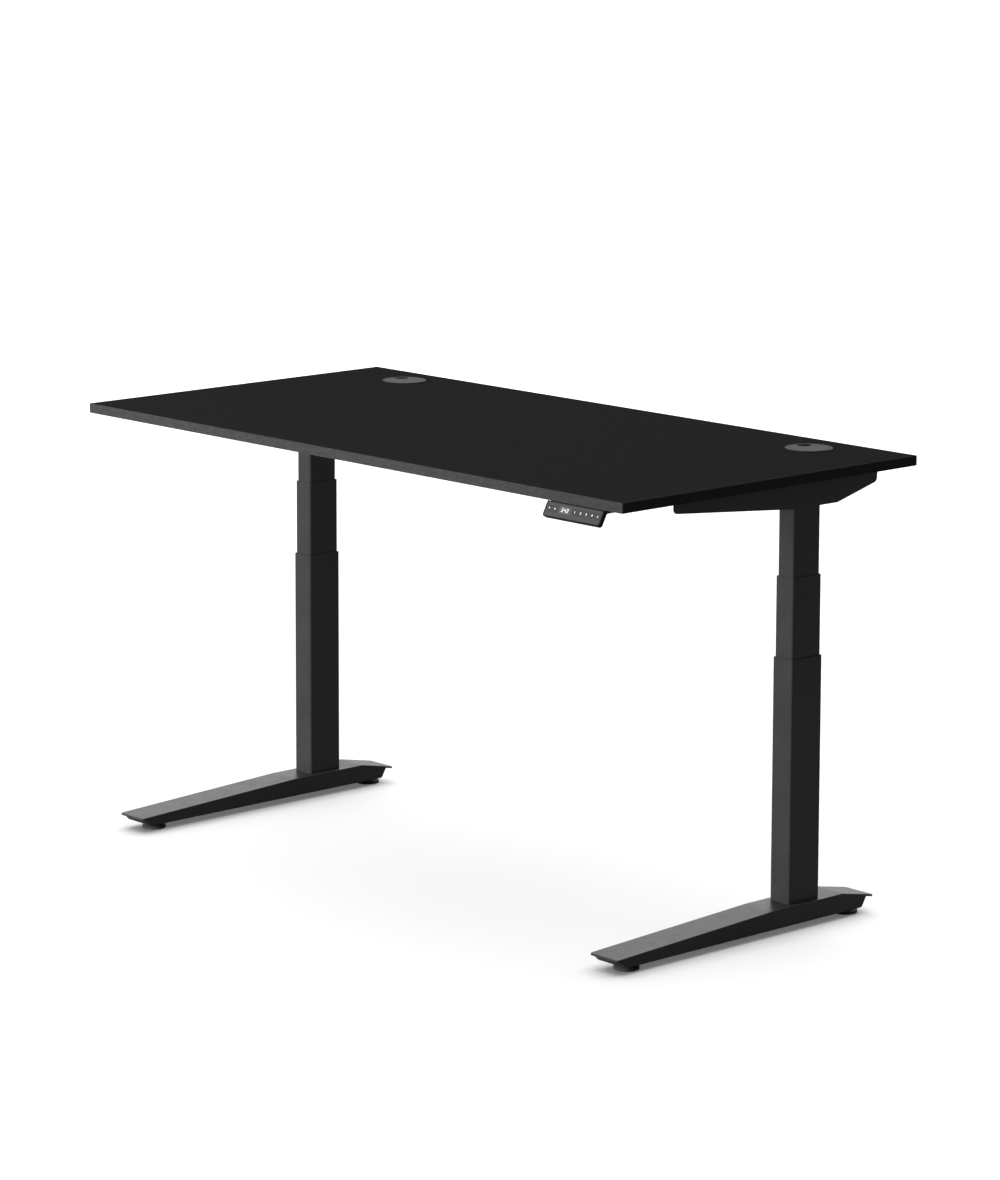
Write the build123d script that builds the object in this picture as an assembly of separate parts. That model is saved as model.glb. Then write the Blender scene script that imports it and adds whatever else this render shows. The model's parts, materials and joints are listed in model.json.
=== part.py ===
from build123d import *
import math
import os

# Height adjustable standing desk, in millimetres.
# X runs along the desk's width, Y from the front edge to the rear, +Z up.
# The origin is on the floor, at the middle of the whole object's outline.

# ---------------------------------------------------------------- driving dimensions
desk_width = 1524.0
desk_depth = 762.0
desk_top = 870.0
core_thickness = 17.4
laminate_thickness = 0.8
edge_band_thickness = 2.0

column_x = 685.0            # column centre, out from the middle of the desk
column_back = 148.0         # column centre, behind the middle of the desktop
outer_section = (50.0, 80.0)
middle_section = (45.0, 75.0)
inner_section = (40.0, 70.0)
tube_wall = 1.5
tube_corner = 4.0           # outside corner radius of all three tubes
foot_top = 50.0
outer_tube_top = 512.0
middle_tube_top = 664.0
middle_tube_bottom = 179.0
inner_tube_bottom = 312.0
inner_tube_top = 800.0

foot_width = 72.0
foot_plate_thickness = 4.0
edge_softness = 0.8         # small radius on the edges that a hand or shoe meets
foot_front = -345.0         # the foot's stations are measured from the middle of the desktop
foot_front_crease = 55.0
foot_rear_crease = 241.0
foot_rear = 326.0
foot_front_height = 32.0
foot_rear_height = 33.5
foot_tip_corner = 5.0       # the foot plate's corners in plan
beam_bottom = 14.0
beam_wall = 2.5
glide_front = -288.0
glide_rear = 286.0
pad_radius = 24.0

handset_width = 146.0
handset_x = 644.8
handset_face_height = 30.0
handset_tilt = 28.0         # degrees, face leaning forward at its foot
handset_depth = 7.5
handset_corner = 6.0        # lower corners, seen square on to the face
handset_softness = 1.0      # edge radius round the face

grommet_x = 572.0
grommet_back = 291.0
grommet_flange_radius = 45.0
grommet_proud = 1.5

# ---------------------------------------------------------------- derived places
tilt = math.radians(handset_tilt)
# How far the handset stands out from the desk's front edge: the tilt's reach less what its soft edge loses.
handset_reach = (handset_face_height * math.sin(tilt)
                 - handset_softness * (math.cos(tilt) + math.sin(tilt) - 1))
desk_y = handset_reach / 2
desk_thickness = core_thickness + 2 * laminate_thickness
desk_underside = desk_top - desk_thickness
desk_front = desk_y - desk_depth / 2
column_y = desk_y + column_back
column = Pos(column_x, column_y, 0)


def save(name, shape):
    """Write one named sub-part."""
    export_step(shape, os.path.join("parts", name + ".step"))


def save_pair(name, shape):
    """Write a right-hand sub-part and its mirror image on the left."""
    save("right_" + name, shape)
    save("left_" + name, mirror(shape, about=Plane.YZ))


def block(x_span, y_span, z_span):
    """A box given by its limits."""
    size = [high - low for low, high in (x_span, y_span, z_span)]
    middle = [(high + low) / 2 for low, high in (x_span, y_span, z_span)]
    return Pos(*middle) * Box(*size)


def rod(radius, bottom, top):
    """An upright cylinder on the local axis."""
    return Pos(0, 0, (bottom + top) / 2) * Cylinder(radius, top - bottom)


def ring(outer_radius, inner_radius, bottom, top):
    """An upright tube on the local axis."""
    return rod(outer_radius, bottom, top) - rod(inner_radius, bottom, top)


def rounded_bar(section, corner, bottom, top):
    """An upright rounded rectangular bar on the local axis."""
    outline = RectangleRounded(section[0], section[1], corner)
    return Pos(0, 0, bottom) * extrude(outline, amount=top - bottom)


def rounded_tube(section, corner, wall, bottom, top):
    """An upright rounded rectangular tube on the local axis."""
    bore = (section[0] - 2 * wall, section[1] - 2 * wall)
    return (rounded_bar(section, corner, bottom, top)
            - rounded_bar(bore, corner - wall, bottom, top))


def side_profile(points, half_width):
    """A prism across X from an outline of (Y, Z) points."""
    outline = make_face(Polyline(*points, close=True))
    return extrude(Plane.YZ * outline, amount=half_width, both=True)


# ---------------------------------------------------------------- feet
foot_line = [(foot_front, foot_front_height), (foot_front_crease, foot_top),
             (foot_rear_crease, foot_top), (foot_rear, foot_rear_height)]
bolt_spots = [(sx * 14.0, sy * 30.0) for sx in (-1, 1) for sy in (-1, 1)]
bolt_radius = 4.0
bolt_head_radius = 7.0
bolt_head_height = 5.0
beam_inset = 0.5            # the plate overhangs the beam by this much on each side
nose_inset = 7.0            # and at the front by this much
nose_run = 15.0             # the beam's front wall leans back by this much on its way down
nose_wall = 9.0             # its thickness, measured level
tail_top = 306.5            # station of the beam's rear wall at the plate
tail_foot = 295.0           # and at its foot
tail_wall = 5.0
beam_corner = 7.0
boss_radius = 9.0
boss_web = 3.0
stud_radius = 4.0
stud_clearance = 0.08


def line_height(station):
    """Height of the foot plate's top surface at a station along Y."""
    for (y0, z0), (y1, z1) in zip(foot_line, foot_line[1:]):
        if station <= y1:
            return z0 + (z1 - z0) * (station - y0) / (y1 - y0)
    return foot_line[-1][1]


def foot_plate():
    under = [(y, z - foot_plate_thickness) for y, z in reversed(foot_line)]
    plate = side_profile(foot_line + under, foot_width / 2)
    plate = fillet(plate.edges().filter_by(Axis.Z), foot_tip_corner)
    top_faces = plate.faces().filter_by(lambda face: face.normal_at().Z > 0.5)
    plate = fillet(top_faces.edges(), edge_softness)
    plate = Pos(column_x, desk_y, 0) * plate
    for x, y in bolt_spots:
        plate -= column * Pos(x, y, 0) * rod(bolt_radius, 0, foot_top + 1)
    return plate


def beam_line(stations):
    """Points under the foot plate at stations along Y."""
    return [(y, line_height(y) - foot_plate_thickness) for y in stations]


def foot_beam():
    """A folded channel, open below, with a threaded boss on a web for each glide."""
    nose = foot_front + nose_inset
    half_width = foot_width / 2 - beam_inset
    top_line = beam_line([nose, foot_front_crease, foot_rear_crease, tail_top])
    bottom_line = [(tail_foot, beam_bottom), (nose + nose_run, beam_bottom)]
    body = side_profile(top_line + bottom_line, half_width)
    body = fillet(body.edges().filter_by(Axis.X).group_by(Axis.Z)[0], beam_corner)
    inner_top = beam_line([nose + nose_wall, foot_front_crease, foot_rear_crease, tail_top - tail_wall])
    inner_bottom = [(tail_foot - tail_wall, beam_bottom - 1),
                    (nose + nose_run + nose_wall, beam_bottom - 1)]
    channel = body - side_profile([(y, z + 1) for y, z in inner_top] + inner_bottom, half_width - beam_wall)
    above = side_profile([(y, z + foot_top) for y, z in top_line] + list(reversed(top_line)), foot_width)
    for station in (glide_front, glide_rear):
        lid = line_height(station)
        boss = Pos(0, station, 0) * rod(boss_radius, beam_bottom, lid)
        web = block((-half_width + 1, half_width - 1), (station - boss_web / 2, station + boss_web / 2),
                    (beam_bottom + 2, lid))
        channel += (boss + web) - above
        channel -= Pos(0, station, 0) * rod(stud_radius + stud_clearance, 0, lid - foot_plate_thickness - 1)
    return Pos(column_x, desk_y, 0) * channel


def foot_bolts():
    """Bolts up through the foot plate into the column's flange."""
    under = foot_top - foot_plate_thickness
    flange_top = foot_top + flange_thickness
    bolts = []
    for x, y in bolt_spots:
        hexagon = extrude(RegularPolygon(bolt_head_radius, 6), amount=bolt_head_height)
        head = Pos(0, 0, under - bolt_head_height) * hexagon
        bolts.append(column * Pos(x, y, 0) * (head + rod(bolt_radius, under, flange_top)))
    return Compound(children=bolts)


pad_thickness = 5.0
pad_chamfer = 1.0
dish_top = 8.0
neck_radius = 9.0
neck_height = 2.6
front_stud_top = 25.0
rear_stud_top = 32.0


def glide(station, stud_top):
    """A levelling foot: pad, domed skirt, hexagon for a spanner, and its threaded stud."""
    pad = rod(pad_radius, 0, pad_thickness)
    pad = chamfer(pad.edges().group_by(Axis.Z)[-1], pad_chamfer)
    skirt_height = dish_top - pad_thickness
    skirt = Pos(0, 0, pad_thickness + skirt_height / 2) * Cone(pad_radius - 3, neck_radius + 2, skirt_height)
    neck = Pos(0, 0, dish_top) * extrude(RegularPolygon(neck_radius, 6), amount=neck_height)
    stud = rod(stud_radius, dish_top, stud_top)
    return Pos(column_x, desk_y + station, 0) * (pad + skirt + neck + stud)


# ---------------------------------------------------------------- telescopic columns
bush_wall = 0.7
bush_height = 56.0
bush_setback = 0.5
flange_thickness = 4.0
plate_thickness = 6.0
stand_pipe = (12.0, 10.0)
middle_pipe = (15.5, 13.5)
lower_spindle = (9.0, 6.5)
upper_spindle_radius = 5.5
running_gap = 0.05
stand_pipe_top = 400.0
lower_nut_height = 25.0
middle_pipe_top = 575.0
journal_bottom = 556.0      # the closed head of the middle pipe carries the lower spindle's journal
journal_top = 566.0
end_gap = 0.4
collar_radius = 12.0
collar_height = 6.6
lower_spindle_bottom = 190.0
upper_spindle_bottom = 350.0
thread_pitch = 20.0         # spacing of the ring grooves, coarser than a real thread
thread_depth = 0.6
groove_width = 2.0


def column_tube(section, bottom, top):
    return column * rounded_tube(section, tube_corner, tube_wall, bottom, top)


def bush(outer, top):
    """A plastic guide ring that lines the mouth of a tube, just below its lip."""
    bore = (outer[0] - 2 * tube_wall, outer[1] - 2 * tube_wall)
    corner = tube_corner - tube_wall
    return column * rounded_tube(bore, corner, bush_wall, top - bush_height, top - bush_setback)


def base_pipe():
    bore = (outer_section[0] - 2 * tube_wall, outer_section[1] - 2 * tube_wall)
    flange = rounded_bar(bore, tube_corner - tube_wall, foot_top, foot_top + flange_thickness)
    pipe = rod(stand_pipe[0], foot_top, stand_pipe_top) + flange
    pipe -= rod(stand_pipe[1], foot_top - 1, stand_pipe_top + 1)
    for x, y in bolt_spots:
        pipe -= Pos(x, y, 0) * rod(bolt_radius, 0, foot_top + flange_thickness + 1)
    return column * pipe


def base_nut():
    nut_top = stand_pipe_top + lower_nut_height
    return column * ring(stand_pipe[0], lower_spindle[0] + running_gap, stand_pipe_top, nut_top)


def middle_guide_pipe():
    bore = (middle_section[0] - 2 * tube_wall, middle_section[1] - 2 * tube_wall)
    plate_top = middle_tube_bottom + plate_thickness
    plate = rounded_bar(bore, tube_corner - tube_wall, middle_tube_bottom, plate_top)
    pipe = plate + rod(middle_pipe[0], middle_tube_bottom, middle_pipe_top)
    pipe -= rod(middle_pipe[1], middle_tube_bottom - 1, journal_bottom)
    pipe -= rod(lower_spindle[0] + running_gap, journal_bottom - 1, journal_top)
    pipe -= rod(upper_spindle_radius + running_gap, journal_top - 1, middle_pipe_top + 1)
    return column * pipe


def cut_grooves(spindle, radius, bottom, top):
    """Cut the shallow ring grooves that stand for a screw thread."""
    half = groove_width / 2
    for index in range(int((top - bottom) / thread_pitch)):
        at = bottom + (index + 0.5) * thread_pitch
        spindle -= ring(radius + 1, radius - thread_depth, at - half, at + half)
    return spindle


def lower_screw():
    collar_top = journal_bottom - end_gap
    spindle = rod(lower_spindle[0], lower_spindle_bottom, journal_top - end_gap)
    spindle += rod(collar_radius, collar_top - collar_height, collar_top)
    spindle -= rod(lower_spindle[1], lower_spindle_bottom - 1, journal_top + 1)
    thread_top = collar_top - collar_height - 9
    return column * cut_grooves(spindle, lower_spindle[0], lower_spindle_bottom + 10, thread_top)


wheel_bottom = 812.0
wheel_top = 824.0
wheel_radius = 18.0
wheel_teeth = 24
tooth_depth = 1.6
tooth_gap_width = 2.0
screw_top = 838.0


def upper_screw():
    spindle = rod(upper_spindle_radius, upper_spindle_bottom, screw_top)
    thread_top = inner_tube_top - 20
    return column * cut_grooves(spindle, upper_spindle_radius, upper_spindle_bottom + 10, thread_top)


def worm_wheel():
    wheel = ring(wheel_radius, upper_spindle_radius, wheel_bottom, wheel_top)
    tooth_gap = block((wheel_radius - tooth_depth, wheel_radius + 1),
                      (-tooth_gap_width / 2, tooth_gap_width / 2), (wheel_bottom - 1, wheel_top + 1))
    for index in range(wheel_teeth):
        wheel -= Rot(0, 0, index * 360 / wheel_teeth) * tooth_gap
    return column * wheel


# ---------------------------------------------------------------- drive heads and top frame
case_inner = -34.0          # drive case limits in X, from the column's axis
case_outer = 20.0
case_half_depth = 34.0
case_corner = 4.0
worm_room_radius = 5.0
worm_room_length = 34.0
head_half_depth = 58.0
collar_thickness = 4.0
head_plate_bottom = desk_underside - 3.0
stub_section = (22.0, head_plate_bottom - inner_tube_top)
stub_wall = 2.0
stub_centre = 47.0
stub_inner_end = -260.0
rail_gap = 0.3
rail_end = column_x - 200.0
web_inner = 20.3            # side bracket's web, from the column's axis
web_thickness = 2.5
motor_radius = 23.5
motor_length = 92.0
motor_height = 823.5
motor_edge = 3.0
motor_hub = (8.0, 4.0)      # radius and length of the bearing hub on the motor's end
slot_width = 2.4
slot_margin = 12.0


def lying_rod(radius, length, x, y, z):
    """A cylinder along X, placed by its middle."""
    return Pos(x, y, z) * Rot(0, 90, 0) * Cylinder(radius, length)


def gearbox_case():
    """Drive head on the inner tube: houses the worm wheel and the worm beside it."""
    case = block((case_inner, case_outer), (-case_half_depth, case_half_depth),
                 (inner_tube_top, head_plate_bottom))
    case = fillet(case.edges().filter_by(Axis.Z), case_corner)
    case -= rod(wheel_radius + 1.5, wheel_bottom - 2, wheel_top + 2)
    case -= rod(upper_spindle_radius + running_gap, inner_tube_top - 1, screw_top + 0.5)
    worm_height = (wheel_bottom + wheel_top) / 2
    case -= lying_rod(worm_room_radius, worm_room_length, case_inner + 24,
                      wheel_radius + worm_room_radius + 2, worm_height)
    return column * case


def motor():
    """Motor can that lies under the desktop, with a flat slot above and below."""
    middle = case_inner - motor_length / 2
    can = lying_rod(motor_radius, motor_length, middle, 0, motor_height)
    can = fillet(can.edges().group_by(Axis.X)[0], motor_edge)
    for z in (motor_height - motor_radius, motor_height + motor_radius):
        slot = Box(motor_length - 2 * slot_margin, 2 * motor_radius, slot_width)
        can -= Pos(middle - slot_margin / 2, 0, z) * slot
    hub_radius, hub_length = motor_hub
    hub = lying_rod(hub_radius, hub_length, case_inner - motor_length - hub_length / 2, 0, motor_height)
    return column * (can + hub)


def frame_end():
    depth = (-head_half_depth, head_half_depth)
    plate = block((stub_inner_end, web_inner), depth, (head_plate_bottom, desk_underside))
    collar_bottom = inner_tube_top - collar_thickness
    collar = block((case_inner, web_inner), depth, (collar_bottom, inner_tube_top))
    collar -= rounded_bar(inner_section, tube_corner, collar_bottom - 1, inner_tube_top + 1)
    head = plate + collar
    for side in (-1, 1):
        middle = side * stub_centre
        span = (middle - stub_section[0] / 2, middle + stub_section[0] / 2)
        bore = (span[0] + stub_wall, span[1] - stub_wall)
        stub = block((stub_inner_end, web_inner), span, (inner_tube_top, head_plate_bottom))
        stub -= block((stub_inner_end - 1, web_inner + 1), bore,
                      (inner_tube_top + stub_wall, head_plate_bottom - stub_wall))
        head += stub
    for x, y in head_screws:
        head -= Pos(x, y, 0) * rod(screw_radius, head_plate_bottom - 1, desk_underside + 1)
    return column * head


def crossbar_rails():
    rails = []
    half_width = stub_section[0] / 2 - stub_wall - rail_gap
    bottom = inner_tube_top + stub_wall + rail_gap
    top = head_plate_bottom - stub_wall - rail_gap
    for side in (-1, 1):
        middle = column_y + side * stub_centre
        rail = block((-rail_end, rail_end), (middle - half_width, middle + half_width), (bottom, top))
        rail -= block((-rail_end - 1, rail_end + 1),
                      (middle - half_width + tube_wall, middle + half_width - tube_wall),
                      (bottom + tube_wall, top - tube_wall))
        rails.append(rail)
    return Compound(children=rails)


bracket_outline = [(-200.0, desk_underside), (-200.0, 821.5), (110.0, 793.5), (225.0, 793.0),
                   (331.0, 820.5), (334.0, desk_underside)]
tab_spans = [(-190.0, column_back - 60.0), (column_back + 60.0, 325.0)]
tab_width = 32.0
bracket_end_corner = 9.0
bracket_foot_corner = 3.0


def side_bracket():
    """Folded plate along the desktop's side, with tabs that screw to its underside."""
    outline = Polyline(*bracket_outline, close=True)
    web = extrude(Plane.YZ * make_face(outline), amount=web_thickness)
    web = fillet(web.edges().filter_by(Axis.X).sort_by(Axis.Z)[:2], bracket_foot_corner)
    by_station = web.edges().filter_by(Axis.X).filter_by(
        lambda edge: edge.center().Z < desk_underside - 1).sort_by(Axis.Y)
    web = fillet([by_station[0], by_station[-1]], bracket_end_corner)
    web = Pos(column_x + web_inner, desk_y, 0) * web
    outer = column_x + web_inner
    for low, high in tab_spans:
        web += block((outer - tab_width, outer + 0.5), (desk_y + low, desk_y + high),
                     (desk_underside - web_thickness, desk_underside))
    for station in bracket_screws:
        web -= Pos(outer - tab_width / 2, desk_y + station, 0) * rod(
            screw_radius, desk_underside - 5, desk_underside + 1)
    return web


# ---------------------------------------------------------------- wood screws
screw_radius = 2.25
screw_head_radius = 4.6
screw_head_height = 2.2
screw_head_softness = 1.5
screw_length = 13.0
bracket_screws = [-170.0, -50.0, 65.0, 225.0, 310.0]
head_screws = [(-230.0, -30.0), (-230.0, 30.0), (-150.0, 0.0)]
tongue_thickness = 8.0
tongue_bottom = desk_underside - tongue_thickness
handset_screw_offset = 52.0
handset_screw_y = desk_front + 31.0


def screw_spots():
    """Every wood screw as (x, y, height of the face its head bears on)."""
    spots = []
    for side in (-1, 1):
        for station in bracket_screws:
            x = side * (column_x + web_inner - tab_width / 2)
            spots.append((x, desk_y + station, desk_underside - web_thickness))
        for x, y in head_screws:
            spots.append((side * (column_x + x), column_y + y, head_plate_bottom))
        spots.append((handset_x + side * handset_screw_offset, handset_screw_y, tongue_bottom))
        spots.append((box_x + side * box_ear, box_y, desk_underside - ear_thickness))
    return spots


def wood_screws():
    screws = []
    for x, y, face in screw_spots():
        head = rod(screw_head_radius, face - screw_head_height, face)
        head = fillet(head.edges().group_by(Axis.Z)[0], screw_head_softness)
        shank = rod(screw_radius, face, desk_underside + screw_length)
        screws.append(Pos(x, y, 0) * (head + shank))
    return Compound(children=screws)


def screw_holes():
    return [Pos(x, y, 0) * rod(screw_radius, desk_underside - 1, desk_underside + screw_length)
            for x, y, _ in screw_spots()]


# ---------------------------------------------------------------- desktop
desk_corner = 1.5
sleeve_radius = 39.5
sleeve_bore = 37.6


def grommet_places():
    return [Pos(side * grommet_x, desk_y + grommet_back, 0) for side in (-1, 1)]


def desktop_core():
    half_x = desk_width / 2 - edge_band_thickness
    half_y = desk_depth / 2 - edge_band_thickness
    core = block((-half_x, half_x), (desk_y - half_y, desk_y + half_y),
                 (desk_underside + laminate_thickness, desk_top - laminate_thickness))
    for place in grommet_places():
        core -= place * rod(sleeve_radius, desk_underside - 1, desk_top + 1)
    for hole in screw_holes():
        core -= hole
    return core


def laminates():
    half_x = desk_width / 2 - edge_band_thickness
    half_y = desk_depth / 2 - edge_band_thickness
    sheets = []
    for bottom in (desk_underside, desk_top - laminate_thickness):
        sheet = block((-half_x, half_x), (desk_y - half_y, desk_y + half_y),
                      (bottom, bottom + laminate_thickness))
        for place in grommet_places():
            sheet -= place * rod(sleeve_radius, desk_underside - 1, desk_top + 1)
        if bottom == desk_underside:
            for hole in screw_holes():
                sheet -= hole
        sheets.append(sheet)
    return Compound(children=sheets)


def edge_band():
    half_x = desk_width / 2
    half_y = desk_depth / 2
    band = block((-half_x, half_x), (desk_y - half_y, desk_y + half_y), (desk_underside, desk_top))
    band = fillet(band.edges().filter_by(Axis.Z), desk_corner)
    band = fillet(band.faces().sort_by(Axis.Z)[-1].edges(), edge_softness)
    band = fillet(band.faces().sort_by(Axis.Z)[0].edges(), edge_softness)
    inset = edge_band_thickness
    band -= block((-half_x + inset, half_x - inset), (desk_y - half_y + inset, desk_y + half_y - inset),
                  (desk_underside - 1, desk_top + 1))
    return band


# ---------------------------------------------------------------- grommets
cap_radius = 37.2
cap_thickness = 3.5
notch_radius = 14.0
notch_offset = 29.0
notch_angle = 150.0
sleeve_depth = 16.0
flange_softness = 1.0
cap_softness = 0.6
step_width = 2.6            # ledge inside the sleeve that carries the cap
step_bottom = desk_top - 5.0


def grommet_sleeves():
    """Flanged sleeves, each with a step that carries its cap."""
    sleeves = []
    flange_top = desk_top + grommet_proud
    for place in grommet_places():
        sleeve = ring(sleeve_radius, sleeve_bore, desk_top - sleeve_depth, desk_top)
        flange = ring(grommet_flange_radius, sleeve_bore, desk_top, flange_top)
        rim = flange.edges().group_by(Axis.Z)[-1].sort_by(SortBy.RADIUS)[-1]
        flange = fillet(rim, flange_softness)
        step_top = flange_top - cap_thickness - 0.3
        step = ring(sleeve_bore + 0.5, sleeve_bore - step_width, step_bottom, step_top)
        sleeves.append(place * (sleeve + flange + step))
    return Compound(children=sleeves)


def grommet_cap():
    """A turning lid with a round notch for cables, on its own axis."""
    top = desk_top + grommet_proud
    lid = rod(cap_radius, top - cap_thickness, top)
    lid = fillet(lid.edges().group_by(Axis.Z)[-1], cap_softness)
    notch = rod(notch_radius, top - cap_thickness - 1, top + 1)
    mouth = block((0, cap_radius - notch_offset + 1), (-notch_radius, notch_radius),
                  (top - cap_thickness - 1, top + 1))
    return lid - Rot(0, 0, notch_angle) * Pos(notch_offset, 0, 0) * (notch + mouth)


# ---------------------------------------------------------------- control box
box_x = 180.0
box_y = desk_y - 40.0
box_half = (115.0, 48.0)
box_ear = 127.0
box_height = 34.0
box_corner = 8.0
box_edge = 3.0
ear_half = 12.0
ear_corner = 6.0
ear_thickness = 3.0
socket_depth = 12.0
inlet_size = (26.0, 18.0)
inlet_y = 28.0
lead_socket_size = (12.0, 9.0)
lead_socket_ys = [-30.0, -12.0, 28.0]


def control_box():
    """Power supply and controller in one case, with a mains inlet and three lead sockets."""
    top = desk_underside
    case = block((-box_half[0], box_half[0]), (-box_half[1], box_half[1]), (top - box_height, top))
    case = fillet(case.edges().filter_by(Axis.Z), box_corner)
    case = fillet(case.faces().sort_by(Axis.Z)[0].edges(), box_edge)
    middle = top - box_height / 2
    for side in (-1, 1):
        ear = block((-ear_half, ear_half), (-ear_half, ear_half), (top - ear_thickness, top))
        ear = fillet(ear.edges().filter_by(Axis.Z), ear_corner)
        case += Pos(side * box_ear, 0, 0) * ear
        case -= Pos(side * box_ear, 0, 0) * rod(screw_radius, top - ear_thickness - 1, top + 1)
    case -= Pos(-box_half[0], inlet_y, middle) * Box(2 * socket_depth, *inlet_size)
    for y in lead_socket_ys:
        case -= Pos(box_half[0], y, middle) * Box(2 * socket_depth, *lead_socket_size)
    return Pos(box_x, box_y, 0) * case


# ---------------------------------------------------------------- handset
outward = (0.0, -math.cos(tilt), math.sin(tilt))
face_top_height = desk_underside - 0.3
face_plane = Plane(origin=(handset_x, desk_front, face_top_height), x_dir=(1, 0, 0), z_dir=outward)
panel_thickness = 2.0
panel_corner = 3.0
panel_side_rim = 3.5
panel_top_rim = 1.8
panel_bottom_rim = 2.4
panel_size = (handset_width - 2 * panel_side_rim, handset_face_height - panel_top_rim - panel_bottom_rim)
panel_middle = -panel_top_rim - panel_size[1] / 2
pocket_depth = 1.9          # room behind the panel for its circuit board and key stems
pocket_margin = 3.0
tongue_length = 46.0
tongue_half_width = 66.0

button_row = -12.9
button_size = (10.0, 10.0)
button_gap = 0.3
button_thickness = 1.6
button_proud = 0.2
button_softness = 0.3
stem_radius = 2.0
stem_length = 1.5
button_pitch = 14.4
first_preset = 3.7
buttons = {
    "down": -61.4,
    "up": -61.4 + button_pitch,
    "preset_1": first_preset,
    "preset_2": first_preset + button_pitch,
    "preset_3": first_preset + 2 * button_pitch,
    "preset_4": first_preset + 3 * button_pitch,
    "memory": first_preset + 4 * button_pitch,
}
display_x = -22.2
display_size = (28.0, 13.0)
display_thickness = 1.4


def on_face(x, y, thickness, size, top, corner=0.0):
    """A plate parallel to the handset's face; x from its middle, y up the face from its upper edge."""
    outline = RectangleRounded(*size, corner) if corner else Rectangle(*size)
    return face_plane * Pos(x, y, top - thickness) * extrude(outline, amount=thickness)


def face_point(along, depth):
    """A (Y, Z) point, along the face from its upper edge and behind it."""
    return (desk_front - math.sin(tilt) * along + math.cos(tilt) * depth,
            face_top_height - math.cos(tilt) * along - math.sin(tilt) * depth)


def handset_shell():
    """The rounded slab behind the face, square at its upper edge where it meets the desktop."""
    size = (handset_width, handset_face_height)
    shell = Box(*size, handset_depth)
    shell = fillet(shell.edges().filter_by(Axis.Z).group_by(Axis.Y)[0], handset_corner)
    rim = shell.faces().sort_by(Axis.Z)[-1].edges().sort_by(Axis.Y)[:-1]
    shell = fillet(rim, handset_softness)
    return face_plane * Pos(0, -handset_face_height / 2, -handset_depth / 2) * shell


def handset_tongue():
    """The wedge and tongue by which the handset screws to the desktop."""
    end = desk_front + tongue_length
    points = [face_point(0.6, 1), face_point(17, 1), face_point(17, handset_depth),
              (desk_front + 13, tongue_bottom), (end, tongue_bottom), (end, desk_underside),
              (desk_front + 2, desk_underside)]
    tongue = Pos(handset_x, 0, 0) * side_profile(points, tongue_half_width)
    for side in (-1, 1):
        tongue -= Pos(handset_x + side * handset_screw_offset, handset_screw_y, 0) * rod(
            screw_radius, tongue_bottom - 1, desk_underside + 1)
    return tongue


def handset_body():
    body = handset_shell() + handset_tongue()
    body -= on_face(0, panel_middle, panel_thickness + 1, panel_size, 1.0, panel_corner)
    pocket = (panel_size[0] - 2 * pocket_margin, panel_size[1] - 2 * pocket_margin)
    return body - on_face(0, panel_middle, pocket_depth + 0.1, pocket, 0.1 - panel_thickness)


def handset_face():
    face = on_face(0, panel_middle, panel_thickness, panel_size, 0.0, panel_corner)
    hole = [length + 2 * button_gap for length in button_size]
    for x in buttons.values():
        face -= on_face(x, button_row, panel_thickness + 2, hole, 1.0)
    return face - on_face(display_x, button_row, panel_thickness + 2, display_size, 1.0)


def handset_display():
    return on_face(display_x, button_row, display_thickness, display_size, 0.0)


def button(x):
    """A key and the stem that works its switch."""
    key = Box(*button_size, button_thickness)
    key = fillet(key.faces().sort_by(Axis.Z)[-1].edges(), button_softness)
    key = face_plane * Pos(x, button_row, button_proud - button_thickness / 2) * key
    stem_middle = button_proud - button_thickness - stem_length / 2
    return key + face_plane * Pos(x, button_row, stem_middle) * Cylinder(stem_radius, stem_length)


# ---------------------------------------------------------------- write every sub-part
os.makedirs("parts", exist_ok=True)

save_pair("foot_plate", foot_plate())
save_pair("foot_beam", foot_beam())
save_pair("foot_bolts", foot_bolts())
save_pair("front_glide", glide(glide_front, front_stud_top))
save_pair("rear_glide", glide(glide_rear, rear_stud_top))
save_pair("outer_tube", column_tube(outer_section, foot_top, outer_tube_top))
save_pair("outer_bush", bush(outer_section, outer_tube_top))
save_pair("stand_pipe", base_pipe())
save_pair("lower_nut", base_nut())
save_pair("middle_tube", column_tube(middle_section, middle_tube_bottom, middle_tube_top))
save_pair("middle_bush", bush(middle_section, middle_tube_top))
save_pair("middle_pipe", middle_guide_pipe())
save_pair("lower_spindle", lower_screw())
save_pair("upper_spindle", upper_screw())
save_pair("worm_wheel", worm_wheel())
save_pair("inner_tube", column_tube(inner_section, inner_tube_bottom, inner_tube_top))
save_pair("gearbox_case", gearbox_case())
save_pair("motor", motor())
save_pair("frame_end", frame_end())
save_pair("side_bracket", side_bracket())
save("crossbar_rails", crossbar_rails())
save("wood_screws", wood_screws())
save("desktop_core", desktop_core())
save("laminates", laminates())
save("edge_band", edge_band())
save("grommet_sleeves", grommet_sleeves())
for name, place in zip(("left", "right"), grommet_places()):
    save(name + "_grommet_cap", place * grommet_cap())
save("control_box", control_box())
save("handset_body", handset_body())
save("handset_face", handset_face())
save("handset_display", handset_display())
for name, x in buttons.items():
    save("button_" + name, button(x))
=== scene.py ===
import json
import math

import bmesh
import bpy
from mathutils import Matrix, Vector


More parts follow.
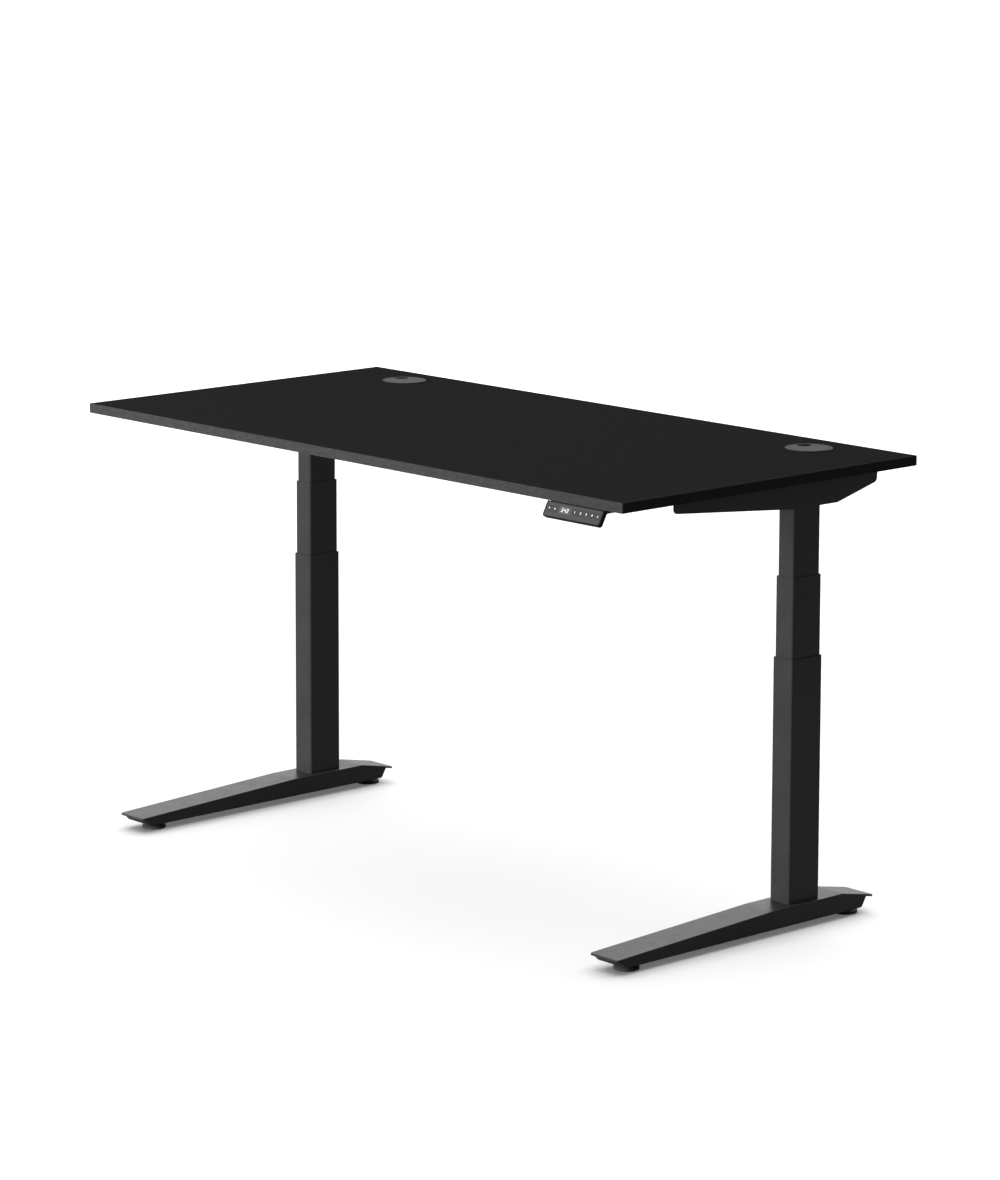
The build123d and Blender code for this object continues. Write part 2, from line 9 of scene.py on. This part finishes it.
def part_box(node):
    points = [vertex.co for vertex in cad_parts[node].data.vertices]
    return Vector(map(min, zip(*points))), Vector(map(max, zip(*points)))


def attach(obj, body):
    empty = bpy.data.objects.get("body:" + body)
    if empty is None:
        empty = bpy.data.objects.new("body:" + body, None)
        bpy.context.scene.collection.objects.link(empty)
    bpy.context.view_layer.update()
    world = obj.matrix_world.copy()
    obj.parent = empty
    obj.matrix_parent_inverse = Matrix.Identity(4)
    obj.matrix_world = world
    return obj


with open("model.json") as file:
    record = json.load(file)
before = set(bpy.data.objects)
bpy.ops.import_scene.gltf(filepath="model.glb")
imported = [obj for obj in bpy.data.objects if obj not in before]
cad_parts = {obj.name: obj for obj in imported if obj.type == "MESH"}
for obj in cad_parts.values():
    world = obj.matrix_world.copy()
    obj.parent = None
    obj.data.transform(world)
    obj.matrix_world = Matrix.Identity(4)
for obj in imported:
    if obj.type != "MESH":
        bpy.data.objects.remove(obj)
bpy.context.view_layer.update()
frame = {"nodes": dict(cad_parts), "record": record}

nodes = frame["nodes"]
MM = 0.001


def middle_of(node):
    low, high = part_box(node)
    return (low + high) / 2


def link_new(name, data):
    made = bpy.data.objects.new(name, data)
    bpy.context.scene.collection.objects.link(made)
    return made


# The camera and the lamps are placed from the middle of the desktop's plan.
desk_middle = middle_of("edge_band")


# ---------------------------------------------------------------- camera
# The first five values share one unit: the image is 1000 of them wide.
FRAME_WIDTH = 1000
FRAME_HEIGHT = 1180
FOCAL = 4378.4                  # focal length
AXIS_ACROSS = 420.0             # where the lens axis meets the image, from its left edge
AXIS_DOWN = 420.0               # and from its top edge
SENSOR = 36.0                   # millimetres along the image's longer side
FAR_CLIP = 200.0
CAMERA_OFFSET = Vector((6.1319, -5.6291, 2.2079))
CAMERA_TURN = 48.348            # degrees about Z, anticlockwise from looking along +Y
CAMERA_DIP = 9.023              # degrees below the horizon


def make_camera():
    data = bpy.data.cameras.new("camera")
    data.sensor_width = SENSOR
    data.lens = FOCAL * SENSOR / FRAME_HEIGHT
    data.shift_x = (FRAME_WIDTH / 2 - AXIS_ACROSS) / FRAME_HEIGHT
    data.shift_y = (AXIS_DOWN - FRAME_HEIGHT / 2) / FRAME_HEIGHT
    data.clip_end = FAR_CLIP
    camera = link_new("camera", data)
    camera.location = CAMERA_OFFSET + Vector((0, desk_middle.y, 0))
    camera.rotation_euler = (math.radians(90 - CAMERA_DIP), 0, math.radians(CAMERA_TURN))
    bpy.context.scene.camera = camera


# ---------------------------------------------------------------- material helpers
WAVE_RADIANS = 20               # phase that the wave texture gains over one unit at a scale of 1


class Shader:
    """A Principled material with short calls for the textures that this desk needs."""

    def __init__(self, name, colour, roughness, metallic=0.0, specular=0.5, coat=0.0):
        self.material = bpy.data.materials.new(name)
        self.material.use_nodes = True
        self.nodes = self.material.node_tree.nodes
        self.links = self.material.node_tree.links
        self.bsdf = self.nodes["Principled BSDF"]
        self.set("Base Color", (*colour, 1.0))
        self.set("Roughness", roughness)
        self.set("Metallic", metallic)
        self.set("Specular IOR Level", specular)
        self.set("Coat Weight", coat)
        self.normal = None

    def set(self, socket, value):
        self.bsdf.inputs[socket].default_value = value

    def add(self, kind, **inputs):
        node = self.nodes.new(kind)
        for name, value in inputs.items():
            node.inputs[name.replace("_", " ")].default_value = value
        return node

    def place(self, stretch=(1, 1, 1)):
        """Object coordinates in metres, stretched along the axes."""
        coordinates = self.nodes.new("ShaderNodeTexCoord")
        mapping = self.add("ShaderNodeMapping", Scale=stretch)
        self.links.new(coordinates.outputs["Object"], mapping.inputs["Vector"])
        return mapping.outputs["Vector"]

    def noise(self, size, detail=3.0, stretch=(1, 1, 1), rough=0.5):
        """Noise whose features are about size metres across."""
        node = self.add("ShaderNodeTexNoise", Scale=1 / size, Detail=detail, Roughness=rough)
        self.links.new(self.place(stretch), node.inputs["Vector"])
        return node.outputs["Fac"]

    def cells(self, size, stretch=(1, 1, 1)):
        """Voronoi cells about size metres across."""
        node = self.add("ShaderNodeTexVoronoi", Scale=1 / size)
        self.links.new(self.place(stretch), node.inputs["Vector"])
        return node.outputs["Distance"]

    def rings(self, size, axis="Z"):
        """Light and dark bands across an axis, each size metres wide, like turning marks."""
        scale = math.pi / (WAVE_RADIANS * size)
        node = self.add("ShaderNodeTexWave", Scale=scale, Distortion=0.4, Detail=2.0)
        node.wave_type = "BANDS"
        node.bands_direction = axis
        self.links.new(self.place(), node.inputs["Vector"])
        return node.outputs["Fac"]

    def spread(self, source, low, high):
        """A factor mapped from its middle range to low and high."""
        node = self.add("ShaderNodeMapRange", From_Min=0.3, From_Max=0.7, To_Min=low, To_Max=high)
        self.links.new(source, node.inputs["Value"])
        return node.outputs["Result"]

    def tint(self, source, dark, light, low=0.3, high=0.7):
        """Base colour that runs from dark to light with a factor."""
        ramp = self.nodes.new("ShaderNodeValToRGB")
        ramp.color_ramp.elements[0].position = low
        ramp.color_ramp.elements[0].color = (*dark, 1.0)
        ramp.color_ramp.elements[1].position = high
        ramp.color_ramp.elements[1].color = (*light, 1.0)
        self.links.new(source, ramp.inputs["Fac"])
        self.links.new(ramp.outputs["Color"], self.bsdf.inputs["Base Color"])
        return self

    def shine(self, source, low, high):
        """Roughness that varies with a factor."""
        self.links.new(self.spread(source, low, high), self.bsdf.inputs["Roughness"])
        return self

    def bump(self, source, depth, strength=1.0):
        """Relief of a depth in metres, laid over any earlier relief."""
        node = self.add("ShaderNodeBump", Strength=strength, Distance=depth)
        self.links.new(source, node.inputs["Height"])
        if self.normal is not None:
            self.links.new(self.normal, node.inputs["Normal"])
        self.normal = node.outputs["Normal"]
        self.links.new(self.normal, self.bsdf.inputs["Normal"])
        return self


def grey(value):
    return (value, value, value)


# ---------------------------------------------------------------- materials
def powder_coat():
    """Matt black powder coat: orange peel, faint dust-like mottling and uneven sheen."""
    shader = Shader("powder_coat", grey(0.012), 0.36, specular=0.3)
    shader.tint(shader.noise(0.05, 4.0), grey(0.011), grey(0.0135))
    shader.shine(shader.noise(0.02, 5.0), 0.33, 0.39)
    shader.bump(shader.noise(0.0016, 2.0), 0.00006, 0.6)
    shader.bump(shader.cells(0.0007), 0.00003, 0.35)
    return shader.material


def zinc_steel():
    shader = Shader("zinc_steel", grey(0.55), 0.36, metallic=1.0)
    shader.tint(shader.noise(0.004, 4.0), (0.42, 0.43, 0.45), (0.6, 0.6, 0.6))
    shader.shine(shader.noise(0.002, 5.0), 0.28, 0.46)
    shader.bump(shader.noise(0.0006), 0.00003, 0.5)
    return shader.material


def pipe_steel():
    shader = Shader("pipe_steel", grey(0.42), 0.3, metallic=1.0)
    shader.tint(shader.noise(0.012, 4.0, (1, 1, 0.2)), (0.3, 0.29, 0.28), (0.48, 0.48, 0.48))
    shader.shine(shader.noise(0.003, 5.0), 0.22, 0.42)
    shader.bump(shader.rings(0.0008), 0.00004, 0.4)
    return shader.material


def brass():
    shader = Shader("brass", (0.66, 0.5, 0.22), 0.3, metallic=1.0)
    shader.tint(shader.noise(0.006, 4.0), (0.5, 0.36, 0.15), (0.72, 0.55, 0.26))
    shader.shine(shader.noise(0.002, 4.0), 0.22, 0.4)
    shader.bump(shader.rings(0.0007), 0.00004, 0.5)
    return shader.material


def case_metal():
    """Die-cast aluminium with its slightly pebbled skin."""
    shader = Shader("case_metal", grey(0.5), 0.5, metallic=1.0)
    shader.tint(shader.noise(0.02, 4.0), grey(0.4), grey(0.55))
    shader.shine(shader.noise(0.005, 4.0), 0.42, 0.62)
    shader.bump(shader.noise(0.0012, 4.0), 0.0001, 0.6)
    return shader.material


def motor_steel():
    shader = Shader("motor_steel", grey(0.03), 0.35, specular=0.5)
    shader.tint(shader.noise(0.01, 4.0, (0.2, 1, 1)), grey(0.022), grey(0.036))
    shader.shine(shader.noise(0.004, 5.0, (0.1, 1, 1)), 0.28, 0.44)
    shader.bump(shader.noise(0.0008, 2.0, (0.1, 1, 1)), 0.00004, 0.5)
    return shader.material


def guide_plastic():
    shader = Shader("guide_plastic", grey(0.012), 0.45, specular=0.3)
    shader.tint(shader.noise(0.006, 3.0), grey(0.010), grey(0.016))
    shader.shine(shader.noise(0.003, 4.0), 0.36, 0.52)
    shader.bump(shader.noise(0.0009, 3.0), 0.00004, 0.5)
    return shader.material


def gear_plastic():
    shader = Shader("gear_plastic", (0.72, 0.68, 0.56), 0.42)
    shader.set("Subsurface Weight", 0.15)
    shader.set("Subsurface Radius", (0.002, 0.002, 0.0015))
    shader.tint(shader.noise(0.006, 3.0), (0.68, 0.64, 0.52), (0.78, 0.75, 0.64))
    shader.shine(shader.noise(0.002, 4.0), 0.34, 0.5)
    shader.bump(shader.noise(0.001), 0.00003, 0.4)
    return shader.material


def particle_board():
    """Pressed chips, seen only inside the grommet holes."""
    shader = Shader("particle_board", (0.5, 0.38, 0.25), 0.85, specular=0.2)
    lying_flat = (1, 1, 2.5)
    shader.tint(shader.cells(0.003, lying_flat), (0.3, 0.2, 0.11), (0.62, 0.48, 0.32), 0.05, 0.6)
    shader.bump(shader.cells(0.0022, lying_flat), 0.0004, 0.8)
    return shader.material


def black_laminate():
    """Deep black melamine with a very fine leather-like grain."""
    shader = Shader("black_laminate", grey(0.0062), 0.8, specular=0.01)
    shader.tint(shader.noise(0.0035, 6.0, rough=0.65), grey(0.0053), grey(0.0071), 0.35, 0.65)
    shader.shine(shader.noise(0.01, 4.0), 0.76, 0.84)
    shader.bump(shader.cells(0.0011), 0.00007, 0.5)
    shader.bump(shader.noise(0.004, 4.0), 0.00006, 0.35)
    return shader.material


def edge_band():
    """ABS edging with short mottled flecks along the edge."""
    shader = Shader("edge_band", grey(0.013), 0.6, specular=0.01)
    flecks = shader.noise(0.005, 6.0, (0.45, 0.45, 1.6), 0.7)
    shader.tint(flecks, grey(0.0105), grey(0.0165), 0.35, 0.65)
    shader.shine(shader.noise(0.006, 4.0), 0.5, 0.64)
    shader.bump(shader.noise(0.0012, 4.0, (0.5, 0.5, 1)), 0.00008, 0.5)
    return shader.material


def grommet_plastic():
    shader = Shader("grommet_plastic", grey(0.011), 0.5, specular=0.06)
    shader.tint(shader.noise(0.01, 3.0), grey(0.009), grey(0.013))
    shader.shine(shader.noise(0.004, 5.0), 0.42, 0.54)
    shader.bump(shader.cells(0.0006), 0.00005, 0.45)
    return shader.material


def box_plastic():
    shader = Shader("box_plastic", grey(0.022), 0.55, specular=0.35)
    shader.tint(shader.noise(0.02, 3.0), grey(0.019), grey(0.027))
    shader.shine(shader.noise(0.003, 5.0), 0.48, 0.62)
    shader.bump(shader.cells(0.001), 0.00012, 0.6)
    return shader.material


def handset_plastic():
    shader = Shader("handset_plastic", grey(0.003), 0.5, specular=0.12)
    shader.tint(shader.noise(0.008, 3.0), grey(0.0025), grey(0.0035))
    shader.shine(shader.noise(0.002, 5.0), 0.42, 0.56)
    shader.bump(shader.cells(0.0005), 0.00004, 0.5)
    return shader.material


def handset_panel(name, value):
    """Spark-textured grey plastic of the key panel and its keys."""
    shader = Shader(name, grey(value), 0.5, specular=0.2)
    shader.tint(shader.noise(0.0012, 5.0, rough=0.7), grey(value * 0.8), grey(value * 1.2))
    shader.shine(shader.noise(0.002, 4.0), 0.42, 0.56)
    shader.bump(shader.cells(0.0005), 0.00005, 0.6)
    return shader.material


def display_window():
    shader = Shader("display_window", grey(0.022), 0.12, specular=0.5, coat=0.4)
    shader.tint(shader.noise(0.01, 3.0), grey(0.019), grey(0.025))
    shader.shine(shader.noise(0.004, 4.0), 0.08, 0.16)
    return shader.material


def pad_rubber():
    shader = Shader("pad_rubber", grey(0.014), 0.7, specular=0.3)
    shader.tint(shader.noise(0.006, 4.0), grey(0.011), grey(0.02))
    shader.shine(shader.noise(0.002, 4.0), 0.55, 0.8)
    shader.bump(shader.noise(0.0012, 4.0), 0.0001, 0.6)
    return shader.material


def glyph_light():
    """Pale marks with a very slight unevenness that glow faintly: a real glow in the display's digits, a
    painted glow on the keys' printed marks.
    """
    shader = Shader("glyph_light", grey(0.35), 0.5)
    shader.tint(shader.noise(0.001, 3.0), grey(0.31), grey(0.39))
    # Painted glow on the keys' printed marks, which are no lamp; real light only in the display's
    # digits.
    shader.set("Emission Color", (1.0, 1.0, 1.0, 1.0))
    shader.set("Emission Strength", 0.05)
    return shader.material


def make_materials():
    made = {build.__name__: build() for build in (
        powder_coat, zinc_steel, pipe_steel, brass, case_metal, motor_steel, guide_plastic,
        gear_plastic, particle_board, black_laminate, edge_band, grommet_plastic, box_plastic,
        handset_plastic, display_window, pad_rubber, glyph_light)}
    made["handset_panel"] = handset_panel("handset_panel", 0.018)
    made["button_plastic"] = handset_panel("button_plastic", 0.0165)
    return made


def dress_nodes(materials):
    """Every CAD node takes the material that its record slot names."""
    for part in frame["record"]["subparts"]:
        mesh = nodes[part["node"]].data
        mesh.materials.clear()
        mesh.materials.append(materials[part["material_slot"]])


# ---------------------------------------------------------------- marks on the handset
HANDSET_TILT = math.radians(28)     # how far the handset's face leans back from upright
FACE_UP = Vector((0, math.sin(HANDSET_TILT), math.cos(HANDSET_TILT)))
FACE_OUT = Vector((0, -math.cos(HANDSET_TILT), math.sin(HANDSET_TILT)))
FACE_ACROSS = Vector((1, 0, 0))
DISPLAY_HALF_THICKNESS = 0.7 * MM
KEY_PROUD = 0.2 * MM            # how far a key stands out past the display
MARK_RELIEF = 0.12 * MM
ARROW_SIZE = 1.6 * MM
ARROW_DEPTH = 0.7               # an arrow's base below its middle, as a share of its size
RING_RADII = (0.9 * MM, 1.4 * MM)
NUMBER_HEIGHT = 5.6 * MM        # size of the keys' digits
NUMBER_WEIGHT = 0.02            # how far their outlines are fattened, as a share of that size
READOUT = "342"                 # with a point after its second digit
SEGMENTS = {"2": "abged", "3": "abgcd", "4": "fgbc"}


def face_matrix(origin):
    """Local X across the face, Y up it, Z out of it."""
    turn = Matrix((FACE_ACROSS, FACE_UP, FACE_OUT)).transposed().to_4x4()
    return Matrix.Translation(origin) @ turn


def place_mark(name, mesh, body):
    piece = link_new(name, mesh)
    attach(piece, body)


def prism(name, outlines, origin, material, body):
    """Flat outlines on the handset's face, raised by MARK_RELIEF into one piece."""
    mesh = bpy.data.meshes.new(name)
    form = bmesh.new()
    for outline in outlines:
        base = [form.verts.new((x, y, 0)) for x, y in outline]
        form.faces.new(base)
    raised = bmesh.ops.extrude_face_region(form, geom=form.faces[:])["geom"]
    moved = [item for item in raised if isinstance(item, bmesh.types.BMVert)]
    bmesh.ops.translate(form, verts=moved, vec=(0, 0, MARK_RELIEF))
    bmesh.ops.recalc_face_normals(form, faces=form.faces[:])
    form.to_mesh(mesh)
    form.free()
    mesh.transform(face_matrix(origin))
    mesh.materials.append(material)
    place_mark(name, mesh, body)


def arrow(up):
    size = ARROW_SIZE if up else -ARROW_SIZE
    return [(0, size), (-size, -size * ARROW_DEPTH), (size, -size * ARROW_DEPTH)]


def circle_strip(inner, outer, count=24):
    """A ring as a fan of quads."""
    def at(radius, index):
        angle = 2 * math.pi * index / count
        return (radius * math.cos(angle), radius * math.sin(angle))

    return [[at(inner, index), at(outer, index), at(outer, index + 1), at(inner, index + 1)]
            for index in range(count)]


def rectangle(left, right, bottom, top):
    return [(left, bottom), (right, bottom), (right, top), (left, top)]


def segment_digit(digit, left, width, height, stroke):
    """The lit bars of one seven-segment digit, from its left edge, centred in height."""
    right = left + width
    top = height / 2
    inset = stroke * 0.6        # leaves a slight gap beside the upright bars
    half = stroke / 2

    def across(y):
        return rectangle(left + inset, right - inset, y - half, y + half)

    def upright(x, low, high):
        return rectangle(x - half, x + half, low + half, high - half)

    bars = {
        "a": across(top - half), "g": across(0), "d": across(-top + half),
        "f": upright(left + half, 0, top), "b": upright(right - half, 0, top),
        "e": upright(left + half, -top, 0), "c": upright(right - half, -top, 0),
    }
    return [bars[name] for name in SEGMENTS[digit]]


def number_mark(name, text, origin, material, body):
    """A digit in the built-in typeface, as a thin mesh piece."""
    curve = bpy.data.curves.new(name + "_curve", "FONT")
    curve.body = text
    curve.size = NUMBER_HEIGHT
    curve.align_x = "CENTER"
    curve.align_y = "CENTER"
    curve.offset = NUMBER_HEIGHT * NUMBER_WEIGHT
    curve.extrude = MARK_RELIEF / 2
    writer = link_new(name + "_curve", curve)
    bpy.context.view_layer.update()
    mesh = bpy.data.meshes.new_from_object(writer)
    bpy.data.objects.remove(writer)
    mesh.transform(Matrix.Translation((0, 0, MARK_RELIEF / 2)))
    mesh.transform(face_matrix(origin))
    mesh.materials.clear()
    mesh.materials.append(material)
    mesh.name = name
    place_mark(name, mesh, body)


def readout_bars():
    """The lit bars of the display, centred on it, with the point between the last two digits."""
    digit_width = 4.8 * MM
    digit_height = 7.6 * MM
    pitch = 6.8 * MM
    stroke = 0.8 * MM
    bars = []
    for index, digit in enumerate(READOUT):
        left = (index - 1) * pitch - digit_width / 2
        bars += segment_digit(digit, left, digit_width, digit_height, stroke)
    point = stroke / 2
    centre = pitch / 2
    bottom = -digit_height / 2
    bars.append(rectangle(centre - point, centre + point, bottom, bottom + stroke))
    return bars


def handset_marks(materials):
    light = materials["glyph_light"]
    screen = middle_of("handset_display") + FACE_OUT * DISPLAY_HALF_THICKNESS

    def key_face(node):
        return Vector((middle_of(node).x, screen.y, screen.z)) + FACE_OUT * KEY_PROUD

    prism("mark_down", [arrow(up=False)], key_face("button_down"), light, "down_key")
    prism("mark_up", [arrow(up=True)], key_face("button_up"), light, "up_key")
    for number in "1234":
        number_mark("mark_" + number, number, key_face("button_preset_" + number), light,
                    "preset_" + number + "_key")
    prism("mark_memory", circle_strip(*RING_RADII), key_face("button_memory"), light, "memory_key")
    prism("display_digits", readout_bars(), screen, light, "top")


# ---------------------------------------------------------------- floor and light
FLOOR_REACH = 60.0
FLOOR_TO_EYE = 0.8              # share of the light on the floor that the camera sees
FLOOR_TO_DESK = 0.24            # share of it that goes back up to the desk
NEAR_GLOW = 0.1                 # extra brightness that only the camera sees, close to the desk
FAR_GLOW = 1.1                  # and far from it, where the floor meets the surround
GLOW_RISES_FROM = 1.5           # the distances, in metres, between which it rises
GLOW_RISES_TO = 7.0
SURROUND_LOW = 0.33             # the surround's level as light, on the dim side
SURROUND_HIGH = 1.5             # and on the bright side
BRIGHT_SIDE = (-0.74, 0.66, 0.1)
DIM_TO = -0.2                   # how far a direction leans to the bright side before it brightens
BRIGHT_FROM = 0.8               # and where it is fully bright
LAMP_AIM = 0.45                 # height that the lamps face


def between(tree, low, high, source_low=0.0, source_high=1.0):
    """A node that maps its Value from the source range to low and high."""
    node = tree.nodes.new("ShaderNodeMapRange")
    node.inputs["From Min"].default_value = source_low
    node.inputs["From Max"].default_value = source_high
    node.inputs["To Min"].default_value = low
    node.inputs["To Max"].default_value = high
    return node


def floor_material():
    material = bpy.data.materials.new("floor")
    material.use_nodes = True
    tree = material.node_tree
    tree.nodes.clear()
    output = tree.nodes.new("ShaderNodeOutputMaterial")
    path = tree.nodes.new("ShaderNodeLightPath")
    share = between(tree, FLOOR_TO_DESK, FLOOR_TO_EYE)
    diffuse = tree.nodes.new("ShaderNodeBsdfDiffuse")
    glow = tree.nodes.new("ShaderNodeEmission")
    both = tree.nodes.new("ShaderNodeAddShader")
    place = tree.nodes.new("ShaderNodeTexCoord")
    length = tree.nodes.new("ShaderNodeVectorMath")
    length.operation = "LENGTH"
    rise = between(tree, NEAR_GLOW, FAR_GLOW, GLOW_RISES_FROM, GLOW_RISES_TO)
    seen = tree.nodes.new("ShaderNodeMath")
    seen.operation = "MULTIPLY"
    for source, target in (
            (path.outputs["Is Camera Ray"], share.inputs["Value"]),
            (share.outputs["Result"], diffuse.inputs["Color"]),
            (place.outputs["Object"], length.inputs[0]),
            (length.outputs["Value"], rise.inputs["Value"]),
            (rise.outputs["Result"], seen.inputs[0]),
            (path.outputs["Is Camera Ray"], seen.inputs[1]),
            (seen.outputs["Value"], glow.inputs["Strength"]),
            (diffuse.outputs["BSDF"], both.inputs[0]),
            (glow.outputs["Emission"], both.inputs[1]),
            (both.outputs["Shader"], output.inputs["Surface"])):
        tree.links.new(source, target)
    return material


def floor():
    """A pale floor that brightens with distance until it meets the white surround."""
    mesh = bpy.data.meshes.new("floor")
    corners = [(x * FLOOR_REACH, y * FLOOR_REACH, 0) for x, y in ((-1, -1), (1, -1), (1, 1), (-1, 1))]
    mesh.from_pydata(corners, [], [(0, 1, 2, 3)])
    mesh.materials.append(floor_material())
    ground = link_new("floor", mesh)
    return ground


def surround():
    """White to the camera; as light it is soft, and brighter behind the desk on its left."""
    world = bpy.data.worlds.new("surround")
    world.use_nodes = True
    bpy.context.scene.world = world
    tree = world.node_tree
    back = tree.nodes["Background"]
    back.inputs["Color"].default_value = (1, 1, 1, 1)
    direction = tree.nodes.new("ShaderNodeTexCoord")
    side = tree.nodes.new("ShaderNodeVectorMath")
    side.operation = "DOT_PRODUCT"
    side.inputs[1].default_value = BRIGHT_SIDE
    level = between(tree, SURROUND_LOW, SURROUND_HIGH, DIM_TO, BRIGHT_FROM)
    level.interpolation_type = "SMOOTHSTEP"
    path = tree.nodes.new("ShaderNodeLightPath")
    choose = tree.nodes.new("ShaderNodeMix")
    choose.inputs["B"].default_value = 1.0
    tree.links.new(direction.outputs["Generated"], side.inputs[0])
    tree.links.new(side.outputs["Value"], level.inputs["Value"])
    tree.links.new(level.outputs["Result"], choose.inputs["A"])
    tree.links.new(path.outputs["Is Camera Ray"], choose.inputs["Factor"])
    tree.links.new(choose.outputs["Result"], back.inputs["Strength"])


def collect(name, pieces):
    made = bpy.data.collections.new(name)
    for piece in pieces:
        made.objects.link(piece)
    return made


def soft_box(name, offset, size, power, receivers, blockers=None):
    """A square lamp that faces the middle of the desk and lights only its receivers.

    It leaves no highlight of its own, and where blockers are given only they cast its shadows.
    """
    data = bpy.data.lights.new(name, "AREA")
    data.shape = "SQUARE"
    data.size = size
    data.energy = power
    lamp = link_new(name, data)
    target = Vector((0, desk_middle.y, LAMP_AIM))
    lamp.location = target + Vector(offset)
    lamp.rotation_euler = (-Vector(offset)).to_track_quat("-Z", "Y").to_euler()
    lamp.visible_glossy = False
    lamp.light_linking.receiver_collection = receivers
    if blockers:
        lamp.light_linking.blocker_collection = blockers


def make_light():
    """A lamp in front for the desk alone, and one overhead that casts the feet's contact shadows."""
    surround()
    desk = collect("desk_pieces", [piece for piece in bpy.context.scene.objects if piece.type == "MESH"])
    feet = collect("feet", [piece for name, piece in nodes.items() if "foot" in name or "glide" in name])
    ground = collect("ground", [floor()])
    soft_box("front_lamp", offset=(-0.7, -3.5, 0.7), size=1.0, power=680, receivers=desk)
    soft_box("floor_lamp", offset=(0.0, 0.0, 2.2), size=5.0, power=108, receivers=ground, blockers=feet)


# ---------------------------------------------------------------- the scene
bpy.context.scene.view_settings.view_transform = "Standard"
make_camera()
materials = make_materials()
dress_nodes(materials)
handset_marks(materials)
make_light()
